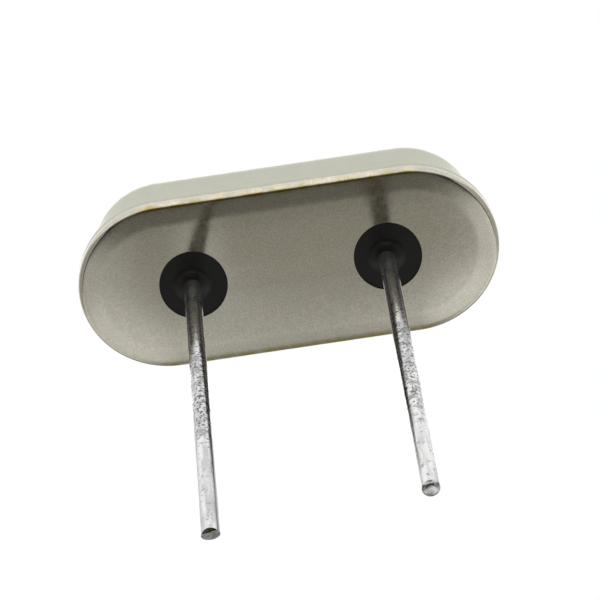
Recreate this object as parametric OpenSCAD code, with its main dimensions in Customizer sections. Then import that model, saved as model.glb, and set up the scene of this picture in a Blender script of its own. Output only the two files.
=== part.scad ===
// Quartz crystal unit: a drawn metal can welded by its flange to a coined base plate.
// Two wire leads pass through glass seals in the base and carry the quartz blank inside
// on bent spring clips. The origin is the centre of the base's flat underside, which
// seats on the board. +Z points to the top of the can and the leads run down -Z.

/* [Can] */
// Length of the straight sides, between the two half-round ends
straight_length = 6.06; // [5.8:0.02:6.4]
// Width of the can across its flat sides
can_width = 3.7; // [3.5:0.05:3.8]
// Height of the can's top above the base's underside
can_height = 3.15; // [2.8:0.05:3.7]
// Thickness of the drawn sheet, in the wall, the top and the flange
sheet_t = 0.2; // [0.16:0.01:0.24]
// Outer radius where the can's top turns down into its wall
can_top_r = 1; // [0.6:0.05:1.3]
// Radius of the outer corner between the can's wall and its flange
can_root_r = 0.12; // [0.06:0.02:0.16]
// How far the can's flange stands out past the base's edge
flange_over = 0.01; // [0:0.01:0.08]
// Radius of the sheared edges of both flanges
flange_edge_r = 0.02; // [0.01:0.01:0.06]

/* [Base] */
// Width of the base plate, flange included
base_width = 4.48; // [4.3:0.02:4.7]
// Height of the raised platform's top above the underside
base_height = 1.0; // [0.8:0.05:1.2]
// Width of the sloping rim on the underside
rim_width = 0.58; // [0.4:0.02:0.64]
// How far the rim's edge lies above the flat underside
rim_rise = 0.11; // [0.06:0.01:0.16]
// Radius that blends the flat underside into the rim
rim_blend_r = 1; // [0.4:0.1:1.6]
// Thickness of the base's flange at its edge
base_flange_t = 0.19; // [0.16:0.01:0.3]
// Radius of the base's lower edge
base_edge_r = 0.12; // [0.04:0.01:0.14]
// Gap between the raised platform and the inside of the can
platform_gap = 0.05; // [0.03:0.01:0.1]
// Radius of the platform's upper edge
platform_edge_r = 0.12; // [0.06:0.02:0.2]
// Radius between the platform's wall and the flange
platform_root_r = 0.05; // [0.02:0.01:0.1]

/* [Leads] */
// Distance between the two leads
lead_pitch = 4.88; // [4.6:0.02:5.2]
// Diameter of the leads below the base
lead_d = 0.43; // [0.38:0.01:0.48]
// Length of the first lead below the base, down to the ridge of its cut end
lead_1_length = 12.75; // [6:0.05:14]
// Length of the second lead below the base
lead_2_length = 12.1; // [6:0.05:14]
// How far the ridge of the first lead's cut end lies in front of the wire's axis
cut_ridge = 0.14; // [0:0.01:0.18]
// Slope of the small face in front of the ridge
cut_front_angle = 45; // [20:1:60]
// Slope of the large face behind the ridge
cut_back_angle = 38; // [20:1:60]
// Radius of the rounded rim at the second lead's end
lead_tip_r = 0.12; // [0.03:0.01:0.16]
// How much the wire swells in diameter from the underside to its head
shank_swell = 0.04; // [0.02:0.01:0.08]
// Diameter of the head inside the can
head_d = 0.86; // [0.8:0.02:1]
// Thickness of the head
head_t = 0.12; // [0.08:0.01:0.2]
// Radius of the head's edges
head_edge_r = 0.03; // [0.01:0.01:0.04]
// Gap between the platform and the head
head_lift = 0.1; // [0.06:0.01:0.16]

/* [Glass seals] */
// Diameter of the glass and of its hole in the base
seal_d = 1.8; // [1.5:0.05:2]
// How far the glass lies below the metal at its rim
seal_dish = 0.04; // [0.02:0.01:0.08]
// How far the glass creeps down the lead below the underside
collar_height = 0.1; // [0.04:0.01:0.16]
// Width of the creeping collar where it leaves the seal's face
collar_width = 0.22; // [0.14:0.02:0.3]
// Width of the collar at its end on the lead
collar_lip = 0.03; // [0.02:0.01:0.06]
// Radius that blends the collar into the seal's face
collar_blend_r = 0.2; // [0.1:0.05:0.3]

/* [Quartz blank] */
// Length of the quartz strip
blank_length = 8; // [7.4:0.1:8.2]
// Width of the quartz strip
blank_width = 2; // [1.6:0.1:2.2]
// Thickness of the quartz strip
blank_t = 0.17; // [0.1:0.01:0.3]
// Length of the electrode's middle field
film_length = 4.4; // [3:0.1:5]
// Width of the electrode's middle field
film_width = 1.5; // [1:0.1:1.6]
// Width of the tabs and end pads
tab_width = 0.8; // [0.5:0.1:1]
// Length of the end pads on the far side of the blank
pad_length = 0.6; // [0.4:0.05:0.7]
// Thickness of the metal film
film_t = 0.01; // [0.01:0.005:0.02]

/* [Spring clips] */
// Width of the bent strip
clip_width = 1; // [0.7:0.1:1.2]
// Thickness of the bent strip
clip_t = 0.08; // [0.06:0.01:0.12]
// Inner radius of the bends
clip_bend_r = 0.06; // [0.04:0.01:0.08]
// Height of the shelf's underside above the foot's underside
clip_rise = 0.4; // [0.34:0.02:0.6]
// Gap between the blank's plated end and the upstand
clip_end_gap = 0.06; // [0.03:0.01:0.1]
// How far the upstand rises past the blank
clip_upstand = 0.08; // [0.04:0.01:0.14]

/* [Adhesive] */
// Diameter of the dab on the blank's end
dab_d = 0.9; // [0.6:0.05:1]
// Height of the dab above the blank
dab_height = 0.15; // [0.1:0.01:0.2]
// Width of the fill between the blank's end and the upstand
fill_width = 0.64; // [0.4:0.02:0.8]
// Height of the fill above the blank
fill_rise = 0.06; // [0.02:0.01:0.08]

/* [Hidden] */
$fn = 96;

// Overlap of a cutting shape past the face it starts from
cut_over = 0.01;
// Every outline follows the same straight spine, so the walls lie evenly round it
half_straight = straight_length / 2;
can_r = can_width / 2;
can_inner_r = can_r - sheet_t;
base_r = base_width / 2;
flange_r = base_r + flange_over;
// Height at which the can's flange meets the base's flange
joint_z = rim_rise + base_flange_t;
platform_r = can_inner_r - platform_gap;

lead_x = lead_pitch / 2;
lead_r = lead_d / 2;
seal_r = seal_d / 2;
head_z = base_height + head_lift;

// Heights of the clip and the blank, stacked up from the head
foot_z = head_z + head_t;
shelf_z = foot_z + clip_rise;
blank_z = shelf_z + clip_t + film_t;
blank_top = blank_z + blank_t;
clip_top = blank_top + clip_upstand;
// Places along the clip, measured from the middle of the can
foot_end = lead_x - head_d / 2;
riser_x = lead_x + head_d / 2;
plated_end = blank_length / 2 + film_t;
upstand_x = plated_end + clip_end_gap;
dab_x = upstand_x - dab_d / 2;

function unit(v) = v / norm(v);
function turn(a, p, b) = (p - a).x * (b - p).y - (p - a).y * (b - p).x;

// The sliver between the corner at p and an arc of radius r that touches both sides.
module corner_sliver(a, p, b, r) {
    u = unit(a - p);
    v = unit(b - p);
    middle = unit(u + v);
    half_angle = acos(u * v) / 2;
    touch = r / tan(half_angle);
    centre = p + middle * r / sin(half_angle);
    difference() {
        polygon([p - middle * cut_over, p + u * touch, centre, p + v * touch]);
        translate(centre)
            circle(r);
    }
}

// A closed outline, listed anticlockwise, with a true arc at each corner that has a radius.
module rounded_profile(points, radii) {
    last = len(points) - 1;
    corners = [
        for (i = [0:last])
            if (radii[i] > 0)
                [points[i > 0 ? i - 1 : last], points[i], points[i < last ? i + 1 : 0], radii[i]]
    ];
    difference() {
        union() {
            polygon(points);
            for (c = corners)
                if (turn(c[0], c[1], c[2]) < 0)
                    corner_sliver(c[0], c[1], c[2], c[3]);
        }
        for (c = corners)
            if (turn(c[0], c[1], c[2]) > 0)
                corner_sliver(c[0], c[1], c[2], c[3]);
    }
}

// Carries a half section round the spine. Its x is the distance from the spine, its y the height.
module around_spine() {
    for (side = [-1, 1])
        translate([side * half_straight, 0, 0])
            rotate(-90 * side)
                rotate_extrude(angle = 180)
                    children();
    rotate([90, 0, 90])
        translate([0, 0, -half_straight])
            linear_extrude(straight_length) {
                children();
                mirror([1, 0])
                    children();
            }
}

// Half section of the can: drawn top and wall, bent out into the weld flange.
module can_section() {
    flange_top = joint_z + sheet_t;
    rounded_profile(
        [
            [0, can_height - sheet_t],
            [can_inner_r, can_height - sheet_t],
            [can_inner_r, joint_z],
            [flange_r, joint_z],
            [flange_r, flange_top],
            [can_r, flange_top],
            [can_r, can_height],
            [0, can_height],
        ],
        [0, can_top_r - sheet_t, can_root_r + sheet_t, flange_edge_r, flange_edge_r, can_root_r, can_top_r, 0]
    );
}

// Half section of the base: flat underside, sloping rim, flange and raised platform.
module base_section() {
    rounded_profile(
        [
            [0, 0],
            [base_r - rim_width, 0],
            [base_r, rim_rise],
            [base_r, joint_z],
            [platform_r, joint_z],
            [platform_r, base_height],
            [0, base_height],
        ],
        [0, rim_blend_r, base_edge_r, flange_edge_r, platform_root_r, platform_edge_r, 0]
    );
}

// Headed wire of the given length below the base, on the Z axis, with a rounded end.
module wire(length, tip_r = 0) {
    rotate_extrude()
        rounded_profile(
            [
                [0, -length],
                [lead_r, -length],
                [lead_r, 0],
                [lead_r + shank_swell / 2, head_z],
                [head_d / 2, head_z],
                [head_d / 2, head_z + head_t],
                [0, head_z + head_t],
            ],
            [0, tip_r, 0, 0, head_edge_r, head_edge_r, 0]
        );
}

// What side cutters take off a wire on the Z axis: all that lies below two sloping faces,
// which meet in a ridge along X at the given length below the base.
module cutters_bite(length) {
    front_z = -length + (lead_d - cut_ridge) * tan(cut_front_angle);
    back_z = -length + (lead_d + cut_ridge) * tan(cut_back_angle);
    low_z = -length - lead_d;
    rotate([90, 0, 90])
        translate([0, 0, -lead_d])
            linear_extrude(2 * lead_d)
                polygon([
                    [-lead_d, low_z], [lead_d, low_z],
                    [lead_d, back_z], [-cut_ridge, -length], [-lead_d, front_z],
                ]);
}

module can() {
    color("silver")
        around_spine()
            can_section();
}

module base() {
    color("darkgray")
        difference() {
            around_spine()
                base_section();
            for (side = [-1, 1])
                translate([side * lead_x, 0, -cut_over])
                    cylinder(h = base_height + 2 * cut_over, r = seal_r);
        }
}

// Glass that fills a hole in the base and creeps a little way along the wire at both ends.
module glass_seal(side) {
    collar_r = lead_r + collar_width;
    color([0.12, 0.12, 0.11])
        translate([side * lead_x, 0, 0])
            difference() {
                rotate_extrude()
                    rounded_profile(
                        [
                            [0, -collar_height],
                            [lead_r + collar_lip, -collar_height],
                            [collar_r, seal_dish],
                            [seal_r, seal_dish],
                            [seal_r, base_height - seal_dish],
                            [collar_r, base_height - seal_dish],
                            [lead_r + shank_swell / 2 + collar_lip, head_z],
                            [0, head_z],
                        ],
                        [0, 0, collar_blend_r, 0, 0, collar_blend_r, 0, 0]
                    );
                wire(2 * collar_height);
            }
}

// The first lead ends in the ridge that side cutters leave.
module lead_1() {
    color("gainsboro")
        translate([-lead_x, 0, 0])
            difference() {
                wire(lead_1_length + cut_over);
                cutters_bite(lead_1_length);
            }
}

// The second lead ends in a flat with a rounded rim.
module lead_2() {
    color("gainsboro")
        translate([lead_x, 0, 0])
            wire(lead_2_length, lead_tip_r);
}

// Strip bent into a foot on the lead's head, a riser, a shelf and an upstand.
module spring_clip(side) {
    outer_bend_r = clip_bend_r + clip_t;
    color("khaki")
        mirror([side < 0 ? 1 : 0, 0, 0])
            rotate([90, 0, 0])
                translate([0, 0, -clip_width / 2])
                    linear_extrude(clip_width)
                        rounded_profile(
                            [
                                [foot_end, foot_z],
                                [riser_x + clip_t, foot_z],
                                [riser_x + clip_t, shelf_z],
                                [upstand_x + clip_t, shelf_z],
                                [upstand_x + clip_t, clip_top],
                                [upstand_x, clip_top],
                                [upstand_x, shelf_z + clip_t],
                                [riser_x, shelf_z + clip_t],
                                [riser_x, foot_z + clip_t],
                                [foot_end, foot_z + clip_t],
                            ],
                            [
                                0, outer_bend_r, clip_bend_r, outer_bend_r, 0,
                                0, clip_bend_r, outer_bend_r, clip_bend_r, 0,
                            ]
                        );
}

module quartz_blank() {
    color([0.85, 0.93, 0.95, 0.6])
        translate([-blank_length / 2, -blank_width / 2, blank_z])
            cube([blank_length, blank_width, blank_t]);
}

// Metal film on one face of the blank, carried over its end by a tab that ends in a pad.
// It is drawn on the top face with its pad at -X.
module film() {
    tab_end = -blank_length / 2 - film_t;
    translate([-film_length / 2, -film_width / 2, blank_top])
        cube([film_length, film_width, film_t]);
    translate([tab_end, -tab_width / 2, blank_top])
        cube([-film_length / 2 - tab_end, tab_width, film_t]);
    translate([tab_end, -tab_width / 2, blank_z - film_t])
        cube([film_t, tab_width, blank_t + 2 * film_t]);
    translate([tab_end, -tab_width / 2, blank_z - film_t])
        cube([film_t + pad_length, tab_width, film_t]);
}

module electrode_top() {
    color("lightgray")
        film();
}

// The same film turned over end to end about the blank's middle.
module electrode_bottom() {
    middle_z = blank_z + blank_t / 2;
    color("lightgray")
        translate([0, 0, middle_z])
            rotate([0, 180, 0])
                translate([0, 0, -middle_z])
                    film();
}

// Domed dab of conductive adhesive that joins the blank's plated end to the clip.
module adhesive(side) {
    dome_r = (pow(dab_d / 2, 2) + pow(dab_height, 2)) / (2 * dab_height);
    color("gray")
        difference() {
            union() {
                translate([side * dab_x, 0, blank_top + dab_height - dome_r])
                    intersection() {
                        sphere(dome_r);
                        translate([0, 0, 2 * dome_r - dab_height])
                            cube(2 * dome_r, center = true);
                    }
                translate([side > 0 ? dab_x : -upstand_x, -fill_width / 2, shelf_z + clip_t])
                    cube([upstand_x - dab_x, fill_width, blank_top + fill_rise - shelf_z - clip_t]);
            }
            quartz_blank();
            electrode_top();
            electrode_bottom();
            spring_clip(side);
        }
}

can();
base();
glass_seal(-1);  // glass_seal_1
glass_seal(1);  // glass_seal_2
lead_1();
lead_2();
spring_clip(-1);  // spring_clip_1
spring_clip(1);  // spring_clip_2
quartz_blank();
electrode_top();
electrode_bottom();
adhesive(-1);  // adhesive_1
adhesive(1);  // adhesive_2
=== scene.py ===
"""Crystal oscillator: the looks of a low metal can welded to a coined base plate.

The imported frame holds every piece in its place. The classes below model the pieces that
show as fine, smooth meshes of the same sizes, give each finish its own procedural
material, and set up the studio and the camera. Sizes in the fields are in millimetres,
and a piece is modelled at one unit to the millimetre before it is brought to its real
size.
"""

import logging
import math
from dataclasses import dataclass, field
from enum import Enum
from typing import Any, Callable, Iterable, Optional, Sequence

import bmesh
import bpy
from mathutils import Matrix, Vector

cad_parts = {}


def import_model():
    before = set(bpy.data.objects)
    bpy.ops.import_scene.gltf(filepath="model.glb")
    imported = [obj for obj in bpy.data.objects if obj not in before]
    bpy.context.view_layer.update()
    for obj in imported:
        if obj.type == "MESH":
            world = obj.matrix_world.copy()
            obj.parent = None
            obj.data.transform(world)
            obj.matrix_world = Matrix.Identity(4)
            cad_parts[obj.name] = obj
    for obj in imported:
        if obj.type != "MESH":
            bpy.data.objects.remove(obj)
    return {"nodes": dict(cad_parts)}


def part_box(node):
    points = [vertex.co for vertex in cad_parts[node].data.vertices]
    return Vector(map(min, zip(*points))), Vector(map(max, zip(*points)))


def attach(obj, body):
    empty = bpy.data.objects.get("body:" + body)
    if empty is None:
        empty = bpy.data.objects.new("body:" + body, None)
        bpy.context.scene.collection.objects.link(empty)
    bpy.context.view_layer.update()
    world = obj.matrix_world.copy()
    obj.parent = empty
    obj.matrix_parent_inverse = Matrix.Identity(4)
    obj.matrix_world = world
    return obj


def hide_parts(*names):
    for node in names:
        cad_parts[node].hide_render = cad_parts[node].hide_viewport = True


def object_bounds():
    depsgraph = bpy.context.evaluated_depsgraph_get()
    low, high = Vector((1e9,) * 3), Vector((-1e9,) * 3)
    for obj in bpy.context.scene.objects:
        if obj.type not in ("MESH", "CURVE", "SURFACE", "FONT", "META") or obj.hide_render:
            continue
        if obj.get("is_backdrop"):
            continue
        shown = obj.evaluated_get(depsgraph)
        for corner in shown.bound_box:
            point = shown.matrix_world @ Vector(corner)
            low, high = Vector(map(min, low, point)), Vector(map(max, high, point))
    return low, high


LOG = logging.getLogger("crystal_oscillator")
BODY = "root"

Colour = tuple[float, float, float]
Direction = tuple[float, float, float]
Tuning = tuple[float, float]

MM = 0.001  # one millimetre in Blender's metres
TOUCH = 1e-4  # distance in millimetres at which two points are one
SEED = 0.1  # size of the plane that a section starts from, before it is one point
ROUND = 0.5  # bevel profile of a true arc
SMOOTH = 32.0  # edges that turn by more degrees than this stay sharp
NOISE_ROUGHNESS = 0.55  # how rough the finer layers of every noise are
EVEN: Direction = (1.0, 1.0, 1.0)
WHITE = (1.0, 1.0, 1.0, 1.0)

# The colour sockets of a Mix node, by number
MIX_SHARE, MIX_FIRST, MIX_SECOND, MIX_COLOUR = 0, 6, 7, 2

# Sizes that pieces share where they meet, in millimetres
HALF_STRAIGHT = 3.03
FLANGE_OUT = 2.245
JOINT = 0.3
JOINT_RADIUS = 0.004
PLATFORM = 1.0
HOLE_RADIUS = 0.9
LEAD_X = 2.44
LEAD_RADIUS = 0.215
HEAD_FROM = 1.1


class Side(Enum):
    """The end of the unit that a lead and its seal stand at."""

    MINUS_X = -1
    PLUS_X = 1

    @property
    def index(self) -> int:
        """The number that the frame's nodes carry for this end."""
        return 1 if self is Side.MINUS_X else 2


class Axis(Enum):
    """An axis of the frame, by its place in a list of coordinates."""

    X = 0
    Y = 1
    Z = 2


class Facets(Enum):
    """Number of facets in a rounding, by what it rounds."""

    SEAM = 2
    STEP = 4
    EDGE = 6
    BEND = 8
    RIM = 10
    SHOULDER = 24


# ---------------------------------------------------------------- modelling


@dataclass(frozen=True)
class Corner:
    """One corner of a half section, at a distance from the spine and a height.

    Attributes:
        out: Distance from the spine or the axis, in millimetres.
        height: Height above the seating plane, in millimetres.
        radius: Radius of the rounding, zero for a sharp corner.
        facets: Number of facets in the rounding.
    """

    out: float
    height: float
    radius: float = 0.0
    facets: Facets = Facets.BEND

    @property
    def point(self) -> Vector:
        """The corner's place in the XZ plane."""
        return Vector((self.out, 0, self.height))


class Bench:
    """The modelling steps that the pieces share, made of Blender's own operators."""

    @staticmethod
    def clear() -> None:
        """Leaves edit mode and deselects every object."""
        if bpy.context.object and bpy.context.object.mode != "OBJECT":
            bpy.ops.object.mode_set(mode="OBJECT")
        bpy.ops.object.select_all(action="DESELECT")

    @staticmethod
    def select(piece: bpy.types.Object, test: Callable[[Any], bool], kind: str) -> int:
        """Selects the vertices, edges or faces of the piece being edited that pass a test.

        Args:
            piece: The object in edit mode.
            test: Takes a bmesh element and says whether it is picked.
            kind: "VERT", "EDGE" or "FACE".

        Returns:
            The number of elements picked.
        """
        bpy.ops.mesh.select_mode(type=kind)
        bpy.ops.mesh.select_all(action="DESELECT")
        mesh = bmesh.from_edit_mesh(piece.data)
        source = {"VERT": mesh.verts, "EDGE": mesh.edges, "FACE": mesh.faces}[kind]
        picked = 0
        for element in source:
            if test(element):
                element.select_set(True)
                picked += 1
        mesh.select_flush_mode()
        bmesh.update_edit_mesh(piece.data)
        return picked

    @classmethod
    def draw_section(
        cls, name: str, corners: Sequence[Corner], closed: bool
    ) -> bpy.types.Object:
        """Draws a half section in the XZ plane, vertex by vertex, and rounds its corners.

        Args:
            name: The new object's name.
            corners: The corners in order, material on the left hand.
            closed: Whether the last corner joins the first. An open section ends at the
                edge of a flat that is filled later.

        Returns:
            The object, still in edit mode, with wire edges only.
        """
        cls.clear()
        bpy.ops.mesh.primitive_plane_add(size=SEED, location=corners[0].point)
        piece = bpy.context.object
        piece.name = name
        piece.data.name = name
        bpy.ops.object.transform_apply(location=True, rotation=True, scale=True)
        bpy.ops.object.mode_set(mode="EDIT")
        bpy.ops.mesh.select_mode(type="VERT")
        bpy.ops.mesh.select_all(action="SELECT")
        bpy.ops.mesh.merge(type="CENTER")
        for here, there in zip(corners, corners[1:]):
            bpy.ops.mesh.extrude_region_move(
                TRANSFORM_OT_translate={"value": there.point - here.point}
            )
        bpy.ops.mesh.select_all(action="SELECT")
        bpy.ops.mesh.edge_face_add()
        for corner in corners:
            if corner.radius > 0:
                cls._round(piece, corner, corners)
        cls.select(piece, lambda face: True, "FACE")
        bpy.ops.mesh.delete(type="ONLY_FACE")
        if not closed:
            cls._open(piece, corners[0], corners[-1])
        return piece

    @classmethod
    def _round(
        cls, piece: bpy.types.Object, corner: Corner, corners: Sequence[Corner]
    ) -> None:
        """Rounds one corner of an outline with a vertex bevel.

        Args:
            piece: The object in edit mode.
            corner: The corner to round.
            corners: All of the outline's corners in order.

        Raises:
            ValueError: If there isn't just one vertex at the corner.
        """
        at = corner.point
        i = list(corners).index(corner)
        before, after = corners[i - 1], corners[(i + 1) % len(corners)]
        turn = (before.point - at).angle(after.point - at)
        picked = cls.select(piece, lambda v: (v.co - at).length < TOUCH, "VERT")
        if picked != 1:
            raise ValueError(f"{piece.name}: {picked} corners at {tuple(at)}")
        bpy.ops.mesh.bevel(
            offset_type="OFFSET",
            offset=corner.radius / math.tan(turn / 2),
            segments=corner.facets.value,
            profile=ROUND,
            affect="VERTICES",
        )

    @classmethod
    def _open(cls, piece: bpy.types.Object, first: Corner, last: Corner) -> None:
        """Deletes the edge that joins the last corner of a section to its first.

        Args:
            piece: The object in edit mode.
            first: The section's first corner.
            last: The section's last corner.
        """
        ends = [first.point, last.point]

        def joins(edge: Any) -> bool:
            """Whether the edge runs between the two ends."""
            a, b = (v.co for v in edge.verts)
            return any(
                (a - p).length < TOUCH and (b - q).length < TOUCH
                for p, q in (ends, ends[::-1])
            )

        cls.select(piece, joins, "EDGE")
        bpy.ops.mesh.delete(type="EDGE")

    @classmethod
    def spin(cls, piece: bpy.types.Object, steps: int) -> None:
        """Spins a section a full turn about Z and merges its seam.

        Args:
            piece: The object in edit mode.
            steps: Number of facets in the turn.
        """
        bpy.ops.mesh.select_all(action="SELECT")
        bpy.ops.mesh.spin(
            steps=steps, angle=2 * math.pi, center=(0, 0, 0), axis=(0, 0, 1), dupli=False
        )
        bpy.ops.mesh.select_all(action="SELECT")
        bpy.ops.mesh.remove_doubles(threshold=TOUCH)

    @classmethod
    def draw_apart(cls, piece: bpy.types.Object, half_straight: float) -> None:
        """Pulls the two halves of a round form apart along X into a stadium.

        Args:
            piece: The object in edit mode.
            half_straight: How far each half moves.
        """
        for side in Side:
            cls.select(piece, lambda v: v.co.x * side.value > TOUCH, "VERT")
            bpy.ops.transform.translate(value=(side.value * half_straight, 0, 0))

    @classmethod
    def fill_flat(cls, piece: bpy.types.Object, height: float) -> None:
        """Closes the flat that an open section leaves, with one face at that height.

        Args:
            piece: The object in edit mode.
            height: The flat's height.

        Raises:
            ValueError: If nothing is open at that height.
        """

        def on_edge(edge: Any) -> bool:
            """Whether the edge is open and lies at the flat's height."""
            return edge.is_boundary and all(
                abs(v.co.z - height) < TOUCH for v in edge.verts
            )

        picked = cls.select(piece, on_edge, "EDGE")
        if not picked:
            raise ValueError(f"{piece.name}: no open edge at a height of {height} mm")
        bpy.ops.mesh.edge_face_add()

    @classmethod
    def finish(cls, piece: bpy.types.Object, smooth: float = SMOOTH) -> bpy.types.Object:
        """Turns the faces outwards, brings the piece to its real size and smooths it.

        Args:
            piece: The object in edit mode, one unit to the millimetre.
            smooth: Edges that turn by more degrees than this stay sharp.

        Returns:
            The same object, in object mode, at the origin and unscaled.
        """
        cls.face_out(piece)
        bpy.ops.object.mode_set(mode="OBJECT")
        piece.scale = (MM, MM, MM)
        bpy.ops.object.transform_apply(location=True, rotation=True, scale=True)
        bpy.ops.object.shade_smooth_by_angle(angle=math.radians(smooth))
        return piece

    @classmethod
    def face_out(cls, piece: bpy.types.Object) -> None:
        """Turns every face of a closed mesh outwards.

        Args:
            piece: The object in edit mode.
        """
        bpy.ops.mesh.select_mode(type="FACE")
        bpy.ops.mesh.select_all(action="SELECT")
        bpy.ops.mesh.normals_make_consistent(inside=False)
        if cls.volume(piece) < 0:
            bpy.ops.mesh.flip_normals()

    @staticmethod
    def volume(piece: bpy.types.Object) -> float:
        """Adds up the tetrahedra between the origin and each triangle of a mesh.

        Args:
            piece: The object in edit mode.

        Returns:
            The volume, below zero where the faces point inwards.
        """
        piece.update_from_editmode()
        total = 0.0
        for face in piece.data.polygons:
            first, *rest = (piece.data.vertices[i].co for i in face.vertices)
            total += sum(first.dot(a.cross(b)) for a, b in zip(rest, rest[1:]))
        return total / 6

    @classmethod
    def cut(cls, piece: bpy.types.Object, cutter: bpy.types.Object) -> None:
        """Cuts one closed form out of another and deletes the cutter.

        Args:
            piece: The object in edit mode, which stays in it.
            cutter: The form to cut with.
        """
        cls.pick(piece)
        cutting = piece.modifiers.new("hole", "BOOLEAN")
        cutting.operation = "DIFFERENCE"
        cutting.solver = "EXACT"
        cutting.object = cutter
        bpy.ops.object.modifier_apply(modifier=cutting.name)
        bpy.data.objects.remove(cutter)
        cls.edit(piece)

    @staticmethod
    def shift(along_x: float) -> None:
        """Moves all of the mesh being edited along X."""
        bpy.ops.mesh.select_all(action="SELECT")
        bpy.ops.transform.translate(value=(along_x, 0, 0))

    @classmethod
    def pick(cls, piece: bpy.types.Object) -> None:
        """Selects one object, and no other, in object mode.

        Args:
            piece: The object to pick.
        """
        cls.clear()
        piece.select_set(True)
        bpy.context.view_layer.objects.active = piece

    @classmethod
    def edit(cls, piece: bpy.types.Object) -> None:
        """Opens one object, and no other, in edit mode."""
        cls.pick(piece)
        bpy.ops.object.mode_set(mode="EDIT")


# ---------------------------------------------------------------- materials


@dataclass(frozen=True)
class Pattern:
    """Soft noise over a piece, and the stretch of its values that a finish uses.

    Attributes:
        scale: Features to the millimetre.
        detail: Layers of finer noise.
        low: Noise at which the pattern starts to show.
        high: Noise at which it shows in full.
        squeeze: Share by which the noise is squeezed along each axis.
    """

    scale: float
    detail: float
    low: float = 0.3
    high: float = 0.7
    squeeze: Direction = EVEN


@dataclass(frozen=True)
class Relief:
    """How far a bump stands out.

    Attributes:
        strength: How much of the bump shows.
        depth: Height of a full step, in millimetres.
    """

    strength: float
    depth: float


class Shade:
    """A node tree with short ways to add and join nodes."""

    def __init__(self, tree: bpy.types.NodeTree) -> None:
        """Takes over a tree and empties it.

        Args:
            tree: The node tree of a material or of the world.
        """
        self.tree = tree
        tree.nodes.clear()

    def add(self, kind: str, inputs: Optional[dict] = None, **settings: Any) -> Any:
        """Adds a node.

        Args:
            kind: The node's type name, without its "ShaderNode" start.
            inputs: Values or sockets for the node's inputs, by name or number.
            **settings: Values for the node's own settings.

        Returns:
            The new node.
        """
        node = self.tree.nodes.new("ShaderNode" + kind)
        for name, value in settings.items():
            setattr(node, name, value)
        for name, value in (inputs or {}).items():
            if isinstance(value, bpy.types.NodeSocket):
                self.tree.links.new(value, node.inputs[name])
            else:
                node.inputs[name].default_value = value
        return node

    def place(self, squeeze: Direction = EVEN) -> bpy.types.NodeSocket:
        """The point on the piece in millimetres, squeezed along each axis by a share."""
        values = {
            "Vector": self.add("TexCoord").outputs["Object"],
            "Scale": Vector(squeeze) / MM,
        }
        return self.add("Mapping", values).outputs[0]

    def along(self, axis: Axis) -> bpy.types.NodeSocket:
        """The point's place along one axis, in millimetres."""
        return self.add("SeparateXYZ", {0: self.place()}).outputs[axis.value]

    def facing(self, axis: Axis) -> bpy.types.NodeSocket:
        """How squarely the surface faces along one axis, from minus one to one."""
        normal = self.add("TexCoord").outputs["Normal"]
        return self.add("SeparateXYZ", {0: normal}).outputs[axis.value]

    def noise(self, pattern: Pattern) -> bpy.types.NodeSocket:
        """The whole range of a pattern's noise."""
        values = {
            "Vector": self.place(pattern.squeeze),
            "Scale": pattern.scale,
            "Detail": pattern.detail,
            "Roughness": NOISE_ROUGHNESS,
        }
        return self.add("TexNoise", values).outputs["Fac"]

    def math(self, operation: str, *terms: Any) -> bpy.types.NodeSocket:
        """The result of one sum, with sockets or numbers as its terms."""
        node = self.add("Math", dict(enumerate(terms)), operation=operation)
        return node.outputs[0]

    def product(self, first: Any, *factors: Any) -> Any:
        """Multiplies two or more values.

        Args:
            first: The first value.
            *factors: The others, in the order in which they are multiplied.

        Returns:
            The product's socket.
        """
        for factor in factors:
            first = self.math("MULTIPLY", first, factor)
        return first

    def fade(
        self, value: Any, low: float, high: float, start: float = 0, end: float = 1
    ) -> bpy.types.NodeSocket:
        """Turns one value smoothly into another.

        Args:
            value: The value to go by.
            low: The value at and below which the result is `start`.
            high: The value at and above which it is `end`.
            start: The result at the low end.
            end: The result at the high end.

        Returns:
            The result's socket.
        """
        values = {
            "Value": value,
            "From Min": low,
            "From Max": high,
            "To Min": start,
            "To Max": end,
        }
        node = self.add("MapRange", values, interpolation_type="SMOOTHSTEP")
        return node.outputs[0]

    def span(self, noise: Any, pattern: Pattern, start: float = 0, end: float = 1) -> Any:
        """Turns noise smoothly into another value, over the pattern's stretch."""
        return self.fade(noise, pattern.low, pattern.high, start, end)

    def blend(self, share: Any, first: Any, second: Any) -> bpy.types.NodeSocket:
        """Mixes two colours.

        Args:
            share: The second colour's share.
            first: The first colour, or its socket.
            second: The second colour, or its socket.

        Returns:
            The mixed colour's socket.
        """
        inputs = {MIX_SHARE: share}
        for number, colour in ((MIX_FIRST, first), (MIX_SECOND, second)):
            linked = isinstance(colour, bpy.types.NodeSocket)
            inputs[number] = colour if linked else (*colour, 1.0)
        return self.add("Mix", inputs, data_type="RGBA").outputs[MIX_COLOUR]

    def dim(self, colour: Any, share: Any) -> bpy.types.NodeSocket:
        """Multiplies a colour by a share."""
        values = {0: colour, "Scale": share}
        return self.add("VectorMath", values, operation="SCALE").outputs[0]

    def bump(self, height: Any, relief: Relief, normal: Any = None) -> Any:
        """Raises the surface by a height value.

        Args:
            height: The height's socket, in full steps.
            relief: How far the bump stands out.
            normal: The normal of an earlier bump to build on.

        Returns:
            The new normal's socket.
        """
        values = {
            "Height": height,
            "Strength": relief.strength,
            "Distance": relief.depth * MM,
        }
        if normal is not None:
            values["Normal"] = normal
        return self.add("Bump", values).outputs[0]


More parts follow.
